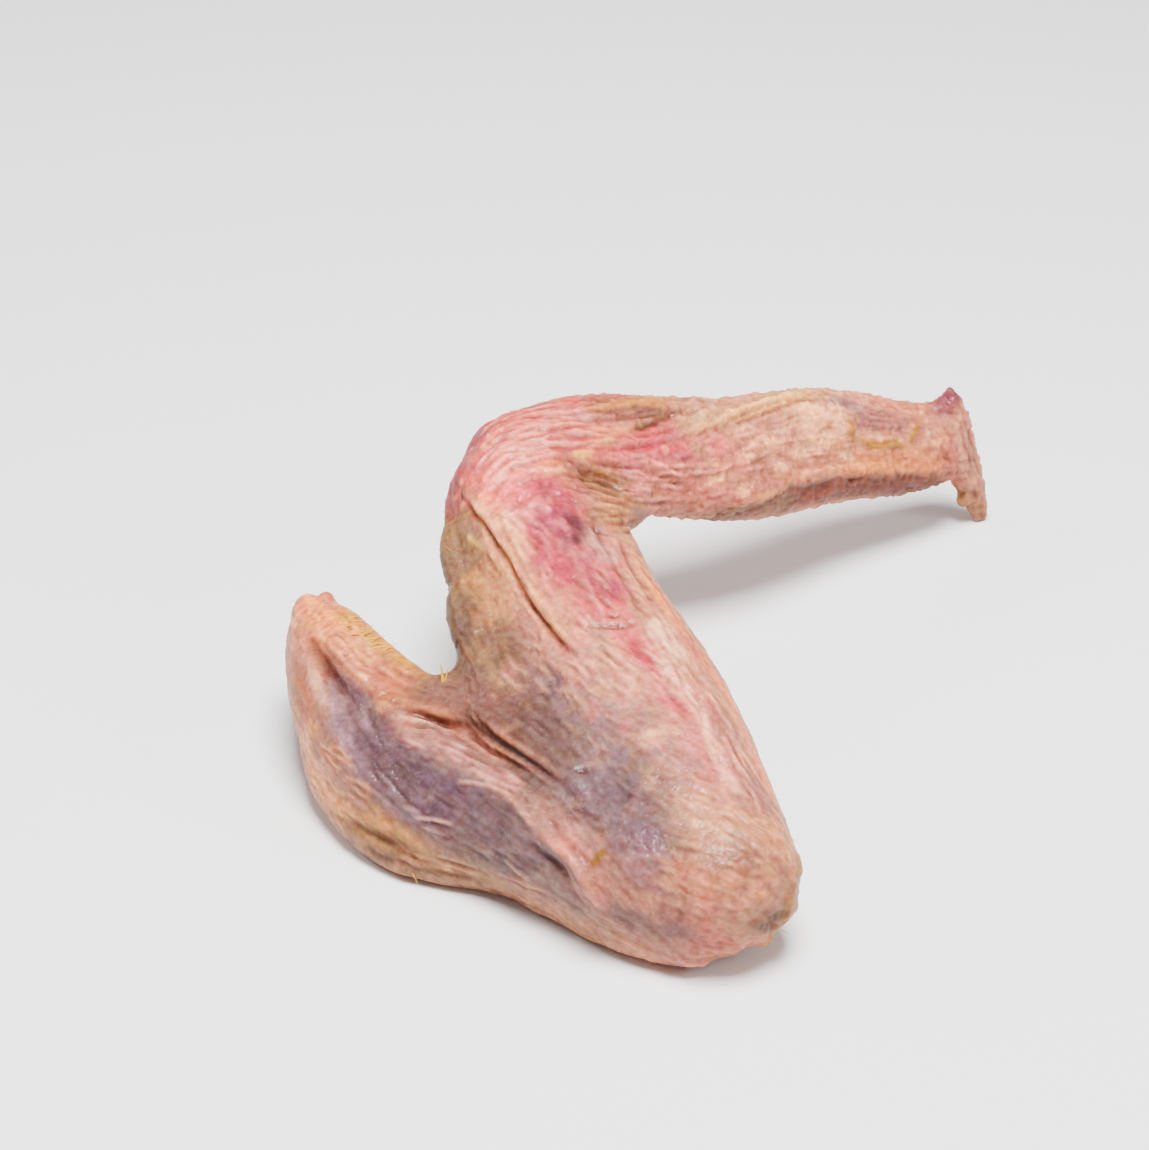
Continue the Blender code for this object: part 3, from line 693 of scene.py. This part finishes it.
fold(-0.7, 0.9, [(598, 512), (614, 514), (630, 516)], (150, 100, 60), 0.7)
fold(-0.7, 0.9, [(604, 524), (622, 521), (642, 523)], (150, 96, 64), 0.7)
fold(-0.6, 0.8, [(593, 525), (604, 533), (618, 539)], (172, 100, 96))
fold(0.5, 0.9, [(596, 507), (616, 508), (636, 510)], (232, 200, 160), 0.7)
stain((200, 96, 110), 0.6, 5, [(530, 484), (552, 492), (572, 502)], 0.9)
stain((190, 96, 104), 0.45, 7, [(556, 528), (580, 560), (598, 590)], 0.9)
stain(BRUISE_DARK, 0.8, 1.8, [(572, 518), (582, 532), (574, 540)], 0.9)
stain((198, 162, 148), 0.5, 3, [(592, 536), (610, 556)], 0.9)
freckles(34, 1.0, 11, [(460, 482), (490, 432), (560, 416), (610, 414)],
         ((180, 106, 120), (240, 206, 196), (206, 152, 130)), 71)
pleats(0.25, 0.5, 14, 44, [(470, 474), (500, 438), (550, 424), (604, 426)],
        (246, 208, 202), (178, 100, 108), 31, 0.3)
pleats(0.35, 0.65, 10, 26, [(480, 444), (515, 424), (560, 416), (604, 413)],
        (240, 184, 174), (180, 96, 90), 16, 0.55)
pleats(0.35, 0.65, 12, 32, [(474, 480), (505, 452), (548, 442), (596, 444)],
        (246, 196, 188), (196, 112, 104), 17, 0.5)
pleats(0.35, 0.65, 7, 16, [(566, 440), (610, 436), (655, 430), (704, 418)],
        (232, 190, 160), (146, 92, 66), 18, 0.6)
pleats(0.4, 0.65, 10, 30, [(556, 468), (590, 478), (626, 492), (652, 500)],
        (206, 158, 128), (100, 62, 48), 19, 0.6)
pleats(0.4, 0.65, 9, 34, [(584, 510), (616, 514), (648, 516)], (222, 174, 144), (150, 92, 76), 20, 0.8)

# The thumb: a flat strip of skin and sinew along the hand's leading edge, with
# painted shadow in the gap under it.
THUMB_TAN = (206, 150, 134)
stain(THUMB_TAN, 0.8, 4, [(600, 412), (650, 410), (700, 405)])
stain((186, 130, 126), 0.7, 2.6, [(640, 408), (668, 404), (690, 402)])
stain((190, 120, 110), 0.7, 2.6, [(590, 400), (630, 400)])
stain((204, 168, 138), 0.6, 3, [(650, 420), (690, 412), (730, 402)])
# Painted shadow in the gap under the thumb.
stain((108, 80, 54), 0.9, 3.0, [(640, 429), (670, 421), (696, 413)])
stain((150, 112, 72), 0.8, 1.8, [(680, 400), (694, 400), (704, 406)])
fold(-0.9, 0.7, [(596, 419), (630, 418), (664, 413), (698, 407)], (120, 76, 56), 0.85)
fold(-1.4, 1.0, [(634, 429), (650, 425), (666, 419), (682, 414), (700, 409)], (112, 78, 48), 0.85)
fold(-0.7, 0.8, [(610, 416), (640, 413), (665, 409)], (150, 100, 78))
fold(0.8, 1.2, [(600, 406), (640, 403), (680, 399), (702, 403)], (208, 150, 138))
fold(-0.6, 0.8, [(640, 398), (668, 396), (690, 400)], (158, 110, 70))

fold(-2.4, 3.0, [(712, 400), (724, 399), (736, 398)])
fold(1.1, 2.0, [(688, 399), (700, 401)])

pleats(0.35, 0.7, 5, 12, [(576, 405), (630, 402), (700, 404)], (220, 170, 132), (132, 82, 56), 21)

# The hand: a stretched sinew from the wrist to its top edge, pink torn skin below
# it, knobbly fat further out, and a loose fold along the lower edge.
HAND_PINK = (220, 130, 136)
HAND_PALE = (226, 186, 168)
UNDERSIDE_SHADE_RED = (160, 82, 58)
FAT_LINE = (196, 140, 38)

stain(HAND_PALE, 0.8, 14, [(720, 440), (780, 430), (840, 440), (900, 450)], 0.8)
stain(HAND_PINK, 0.95, 8, [(640, 452), (676, 450), (712, 456)])
stain((224, 124, 132), 0.6, 4, [(652, 446), (694, 446)])
stain((196, 112, 112), 0.8, 3, [(640, 467), (656, 474)])
stain((196, 140, 130), 0.6, 2.2, [(668, 440), (690, 434), (712, 440)], 0.9)
stain((184, 112, 116), 0.55, 1.8, [(640, 456), (664, 458), (690, 462)], 0.9)
stain((210, 138, 124), 0.8, 7, [(660, 492), (710, 498), (750, 490)])
stain((220, 160, 148), 0.6, 7, [(740, 470), (790, 468)])
stain((202, 170, 140), 0.8, 3.5, [(690, 424), (730, 414), (776, 402), (806, 390)])
stain((206, 150, 142), 0.6, 5, [(750, 424), (780, 420)])
stain((240, 208, 190), 0.6, 4, [(806, 412), (836, 410)])
stain((196, 134, 120), 0.5, 3, [(706, 468), (740, 474), (780, 462)], 0.9)
stain((222, 142, 140), 0.5, 4, [(716, 444), (748, 452)], 0.9)
stain((196, 138, 118), 0.75, 5, [(760, 476), (800, 470), (836, 462)], 0.8)
stain((180, 110, 108), 0.95, 4.5, [(862, 418), (888, 421), (912, 428)])
stain((176, 146, 146), 0.8, 2, [(818, 396), (840, 400), (860, 408)])
stain((222, 160, 144), 0.7, 3, [(880, 402), (930, 408)])
stain((216, 152, 122), 0.85, 6, [(850, 464), (900, 462), (935, 468)])
stain((206, 126, 112), 0.8, 4, [(944, 440), (952, 470), (954, 482)])
# Painted shade on the red-brown underside of the hand, below its lower fold.
stain(UNDERSIDE_SHADE_RED, 1.0, 5, [(782, 500), (820, 492), (870, 488), (934, 487)], 0.2)
stain((172, 120, 92), 0.9, 5, [(716, 518), (750, 510), (784, 503)], 0.3)
for spot in ((740, 446), (762, 432), (792, 446), (820, 432), (842, 452), (708, 470), (736, 484), (772, 458)):
    stain((196, 152, 128), 0.6, 1.8, [spot, (spot[0] + 9, spot[1] - 4)], 0.9, 5)
    stain((242, 212, 190), 0.6, 1.5, [(spot[0] + 4, spot[1] + 9), (spot[0] + 12, spot[1] + 7)], 0.9, 6)
freckles(70, 1.5, 15, [(660, 470), (720, 450), (800, 440), (930, 445)],
         ((236, 194, 174), (206, 146, 126), (196, 124, 120), (192, 156, 130)), 70)
fold(0.9, 1.2, [(680, 431), (712, 425), (743, 411), (775, 400), (800, 391)], (226, 192, 160), 0.7)
fold(-0.6, 1.0, [(700, 434), (735, 421), (770, 410), (800, 404)], (196, 140, 120), 0.4)
fold(0.7, 0.9, [(636, 460), (654, 463), (667, 469), (680, 478)], (238, 186, 176), 0.7)
fold(-0.9, 1.2, [(641, 466), (657, 474), (671, 482), (700, 496)], (172, 92, 88))
fold(-0.8, 1.0, [(749, 465), (760, 460), (771, 457)], (160, 104, 88), 0.7)
fold(0.8, 1.3, [(730, 508), (750, 501), (771, 494), (790, 488)], (224, 178, 148))
fold(-0.8, 1.8, [(735, 516), (770, 500), (806, 490), (844, 482), (890, 482), (932, 484)])
fold(0.8, 1.4, [(780, 482), (810, 474), (844, 468), (880, 468), (920, 470)], (236, 184, 156), 0.5)
for nudge in range(4):
    fold(0.35, 0.7, [(852, 405 + 5 * nudge), (876, 408 + 5 * nudge), (912, 412 + 5 * nudge)],
         (214, 164, 156), 0.4)
# More painted shade on the red-brown underside of the hand.
stain(UNDERSIDE_SHADE_RED, 0.9, 3.5, [(850, 486), (890, 483), (932, 482)], 0.3)

pleats(0.3, 0.6, 18, 44, [(616, 474), (664, 482), (716, 484), (770, 470)],
        (244, 196, 188), (184, 90, 88), 22, 0.2, 0.55)
pleats(0.2, 0.6, 12, 56, [(724, 466), (790, 448), (860, 438), (934, 446)],
        (240, 204, 188), (192, 130, 112), 23, 0.12, 0.45)
fold(0.7, 1.2, [(849, 418), (851, 428), (853, 439)], FAT_LINE, 1.5)
fold(0.7, 1.1, [(856, 439), (868, 444), (880, 446), (892, 443), (908, 448)], FAT_LINE, 1.6)
fold(0.6, 1.1, [(908, 445), (914, 434), (918, 421)], FAT_LINE, 1.4)
pleats(0.3, 0.7, 6, 12, [(700, 426), (750, 410), (806, 392), (850, 396)],
        (240, 208, 180), (190, 140, 112), 24)

# The cut tip: a violet knob of gristle at the top, and the grey-tan flap of skin
# that hangs from it, pleated down its length and yellow at its end.
stain((182, 98, 104), 1.0, 5, [(944, 404), (956, 394)])
stain((206, 156, 138), 0.9, 6, [(968, 420), (975, 450), (982, 480)])
stain((188, 138, 104), 0.9, 4, [(965, 498), (978, 508), (986, 518)])
for nudge in (0, 7, 14):
    fold(-0.4, 0.8, [(958 + nudge, 418), (966 + nudge, 446), (974 + nudge, 480)], (168, 122, 110))
fold(-0.9, 1.4, [(940, 408), (948, 412), (960, 414)], (150, 96, 96))
fold(2.6, 2.4, [(960, 494), (968, 504)])
fold(-0.8, 1.0, [(972, 488), (976, 500)], (140, 96, 70))
fold(-0.8, 1.4, [(945, 430), (948, 456), (952, 482)], (180, 116, 96))

# The sides that don't show: the same skin, loosely wrinkled along each limb, with
# muscle that shows through in violet, fat in tan, and pink where it was handled.
LOOSE_HEIGHT, LOOSE_DEPTH = 0.45, 0.55
PATCH_STRENGTH = 0.6
turned = np.clip((outward @ np.array(look) - 0.05) / 0.25, 0, 1)
loose = grain(24.0, 4.2, 41)
sunk = np.exp(-(loose / 0.15) ** 2)
raised += turned * (LOOSE_HEIGHT * loose - LOOSE_DEPTH * sunk)
for seed, size, limit, colour in ((42, 30, 0.15, shade(168, 128, 128)), (43, 22, 0.10, shade(218, 154, 144)),
                                  (44, 18, 0.20, shade(200, 154, 124)), (46, 7, 0.35, shade(232, 192, 176))):
    mask = np.clip((jumble(bent / size, seed) + 0.3 * fibres - limit) / 0.5, 0, 1) * turned * PATCH_STRENGTH
    tone += mask[:, None] * (colour - tone)

# Fine relief all over: wrinkles and thin creases along the grain, lumps of fat,
# and more of both on the hand, the wrist and the elbow.
thin = grain(11.0, 2.6, 23)
creases = np.exp(-(thin / 0.13) ** 2)
lumps = jumble(places / 4.2, 24) * 0.5 + jumble(places / 2.2, 25) * 0.5
pebbles = np.abs(jumble(bent / 3.4, 26)) + 0.6 * np.abs(jumble(bent / 1.9, 27)) - 0.5
wrist = np.exp(-(np.linalg.norm(places - on_skin(560, 460), axis=1) / 26) ** 2)
elbow = np.exp(-(np.linalg.norm(places - on_skin(770, 920), axis=1) / 20) ** 2)
rough = np.clip(hand + 0.8 * wrist, 0, 1)
raised += (0.20 + 0.20 * wrist - 0.08 * hand) * wrinkles + (0.17 + 0.02 * rough) * streaks
raised -= (0.10 + 0.35 * wrist + 0.10 * hand) * creases
raised += (0.06 + 0.12 * hand + 0.4 * elbow) * lumps + (0.04 + 0.75 * hand + 0.5 * elbow) * pebbles

# What the relief does to the colour: painted shade, darker and redder, down in the
# creases, a painted highlight on the ridges, and streaks along the grain.
RIDGE_HIGHLIGHT_TINT, CREASE_SHADE_TINT = (1.20, 1.26, 1.28), (0.70, 0.44, 0.38)
TO_YELLOW, TO_ROSY = np.array((0.03, 0.12, -0.15)), np.array((0.10, -0.13, -0.08))
PAINTED_LIGHT_ON_HIDDEN_SIDES, ALL_OVER = (0.04, 0.10, 0.16), (1, 1.01, 1.04)

edges = np.empty(len(skin_mesh.edges) * 2, dtype=np.int64)
skin_mesh.edges.foreach_get("vertices", edges)
one, other = edges.reshape(-1, 2).T
meeting = np.bincount(one, minlength=count) + np.bincount(other, minlength=count)


def evened(values, rounds):
    for _ in range(rounds):
        around = np.bincount(one, values[other], count) + np.bincount(other, values[one], count)
        values = 0.4 * values + 0.6 * around / meeting
    return values


stands_out = evened(raised, 1) - evened(raised, 14)
ridge_highlight = np.clip(stands_out / 0.30, 0, 1)[:, None]
crease_shade = np.clip(-stands_out / 0.42, 0, 1)[:, None]
yellow = 0.5 * jumble(places / 5.0, 31) + 0.5 * jumble(places / 2.2, 32) + 0.4 * fibres
web = np.exp(-(np.linalg.norm(places - on_skin(490, 640), axis=1) / 26) ** 2)
calm = (1 - 0.55 * turned) * (1 - 0.4 * web)
rosy = 0.5 * jumble(bent / 3.1, 36) + 0.6 * jumble(bent / 1.5, 37)
blotchy = 0.5 * jumble(bent / 2.6, 38) + 0.5 * jumble(bent / 1.3, 39)
tone = tone * (1 + (calm * yellow)[:, None] * TO_YELLOW + (calm * rosy)[:, None] * TO_ROSY)
tone = tone * (1 + (0.14 + 0.06 * rough - 0.06 * web) * blotchy)[:, None] * ALL_OVER
# Painted light: the sides turned away from the view, which the lamps light less, are painted paler and
# cooler.
tone = tone * (1 + turned[:, None] * PAINTED_LIGHT_ON_HIDDEN_SIDES)
tone = tone * (1 + (0.26 * streaks + 0.18 * wrinkles) * (1 - 0.4 * web))[:, None]
# Painted highlight on the raised ridges, then painted shade down in the creases.
tone += ridge_highlight * 0.6 * (np.minimum(tone * RIDGE_HIGHLIGHT_TINT, 0.95) - tone)
tone += crease_shade * 0.8 * (tone * CREASE_SHADE_TINT - tone)

moved = places + outward * raised[:, None]
moved[:, 2] = np.maximum(moved[:, 2], 0.0)
skin_mesh.vertices.foreach_set("co", (moved / 1000).ravel())
skin_mesh.polygons.foreach_set("use_smooth", [True] * len(skin_mesh.polygons))
colour_of_skin = skin_mesh.attributes.new("tone", "FLOAT_COLOR", "POINT")
colour_of_skin.data.foreach_set("color", np.concatenate([tone, np.ones((count, 1))], axis=1).ravel())
skin_mesh.update()

# Raw skin: its painted tone, broken up by mottling and tiny pores, over a little
# depth of flesh, under a thin wet film.
raw_skin = bpy.data.materials.new("raw_goose_skin_wet")
raw_skin.use_nodes = True
nodes, links = raw_skin.node_tree.nodes, raw_skin.node_tree.links
shader = nodes["Principled BSDF"]


def fill(made, values):
    """Sets the inputs of a node by their names."""
    for socket, value in values.items():
        made.inputs[socket].default_value = value


def node(kind, values=None, **settings):
    """A node with its settings, and values for its inputs."""
    made = nodes.new(kind)
    for name, value in settings.items():
        setattr(made, name, value)
    fill(made, values or {})
    return made


def wire(source, target, socket):
    links.new(source, target.inputs[socket])


painted = node("ShaderNodeAttribute", attribute_name="tone")
space = node("ShaderNodeTexCoord")

mottle = node("ShaderNodeTexNoise", {"Scale": 520, "Detail": 5, "Roughness": 0.6})
wire(space.outputs["Object"], mottle, "Vector")
mottle_range = node("ShaderNodeMapRange", {"From Min": 0.36, "From Max": 0.66})
wire(mottle.outputs["Fac"], mottle_range, "Value")
deeper = node("ShaderNodeMix", data_type="RGBA", blend_type="MULTIPLY")
paler = node("ShaderNodeMix", data_type="RGBA", blend_type="MULTIPLY")
for change, times in ((deeper, (0.84, 0.70, 0.66, 1)), (paler, (1.16, 1.24, 1.26, 1))):
    fill(change, {"Factor": 1.0, "B": times})
    wire(painted.outputs["Color"], change, "A")
mottled = node("ShaderNodeMix", data_type="RGBA")
wire(mottle_range.outputs["Result"], mottled, "Factor")
wire(deeper.outputs["Result"], mottled, "A")
wire(paler.outputs["Result"], mottled, "B")
wire(mottled.outputs["Result"], shader, "Base Color")

fine_creases = node("ShaderNodeTexNoise", {"Scale": 900, "Detail": 4})
wire(space.outputs["Object"], fine_creases, "Vector")
pores = node("ShaderNodeTexVoronoi", {"Scale": 520}, feature="SMOOTH_F1")
wire(space.outputs["Object"], pores, "Vector")
pore_height = node("ShaderNodeMath", {1: -0.8}, operation="MULTIPLY_ADD")
wire(pores.outputs["Distance"], pore_height, 0)
wire(fine_creases.outputs["Fac"], pore_height, 2)
surface = node("ShaderNodeBump", {"Strength": 0.45, "Distance": 0.0006})
wire(pore_height.outputs["Value"], surface, "Height")
wire(surface.outputs["Normal"], shader, "Normal")
wire(surface.outputs["Normal"], shader, "Coat Normal")

dull = node("ShaderNodeMapRange", {"To Min": 0.62, "To Max": 0.82})
wire(fine_creases.outputs["Fac"], dull, "Value")
wire(dull.outputs["Result"], shader, "Roughness")
fill(shader, {"Subsurface Weight": 0.14, "Subsurface Radius": (1.0, 0.4, 0.25), "Subsurface Scale": 0.002,
              "Specular IOR Level": 0.1, "Coat Weight": 0.3, "Coat Roughness": 0.13})
skin_mesh.materials.clear()
skin_mesh.materials.append(raw_skin)

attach(skin, "root")
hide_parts("goose_wing")

# The stubs of plucked feathers: short straw-coloured shafts that lie along the free
# edge of the web, one that stands up in its corner, and a few stray hairs.
touch = BVHTree.FromPolygons([v.co for v in skin_mesh.vertices], [p.vertices for p in skin_mesh.polygons])
PICTURE_STEP = DISTANCE / LENS_PIXELS
shafts = bmesh.new()


def shaft(foot, tip, thick, lift):
    """A pointed shaft of four sides, from a place on the skin towards another place in the picture."""
    start = Vector(on_skin(*foot)) / 1000 + look * 0.0003
    step = (Vector((1, 0, 0)) * (tip[0] - foot[0]) - rise_in_view * (tip[1] - foot[1])) * PICTURE_STEP
    step -= look * (lift / 1000)
    bmesh.ops.create_cone(shafts, cap_ends=True, segments=4, radius1=thick / 1000, radius2=thick / 4000,
                          depth=step.length, matrix=Matrix.Translation(start + step / 2)
                          @ step.to_track_quat("Z", "Y").to_matrix().to_4x4())


chance = np.random.default_rng(5)
EDGE = np.array([(344, 612), (362, 630), (380, 647), (398, 662), (418, 676), (436, 684)], float)
for number in range(90):
    place = chance.beta(1.1, 1.6) * (len(EDGE) - 1)
    foot = part_way(EDGE, place)
    foot += chance.normal(0, 3.2, 2) + (-3, 4)
    angle = chance.normal(0.25, 0.45)
    tip = foot + chance.uniform(6, 15) * np.array((math.cos(angle), math.sin(angle)))
    thick = chance.uniform(0.22, 0.42)
    shaft(foot, tip, thick, chance.uniform(0.2, 0.8))
for foot, tip, thick in (((443, 682), (441, 665), 0.5), ((445, 681), (448, 669), 0.4),
                         ((391, 664), (398, 670), 0.3), ((388, 659), (401, 669), 0.3),
                         ((796, 838), (803, 842), 0.16), ((412, 872), (418, 884), 0.16),
                         ((452, 552), (446, 546), 0.15), ((560, 402), (553, 396), 0.12),
                         ((788, 936), (797, 940), 0.14), ((520, 548), (530, 556), 0.15),
                         ((700, 640), (709, 646), 0.14), ((486, 505), (492, 514), 0.15)):
    shaft(foot, tip, thick, 0.8)

stubs_mesh = bpy.data.meshes.new("feather_stubs")
shafts.to_mesh(stubs_mesh)
shafts.free()
stubs = bpy.data.objects.new("feather_stubs", stubs_mesh)
bpy.context.scene.collection.objects.link(stubs)
straw = bpy.data.materials.new("feather_straw")
straw.use_nodes = True
straw_shader = straw.node_tree.nodes["Principled BSDF"]
fill(straw_shader, {"Base Color": (*shade(226, 198, 146), 1), "Roughness": 0.4,
                    "Subsurface Weight": 0.2, "Subsurface Scale": 0.001})
stubs_mesh.materials.append(straw)
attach(stubs, "root")
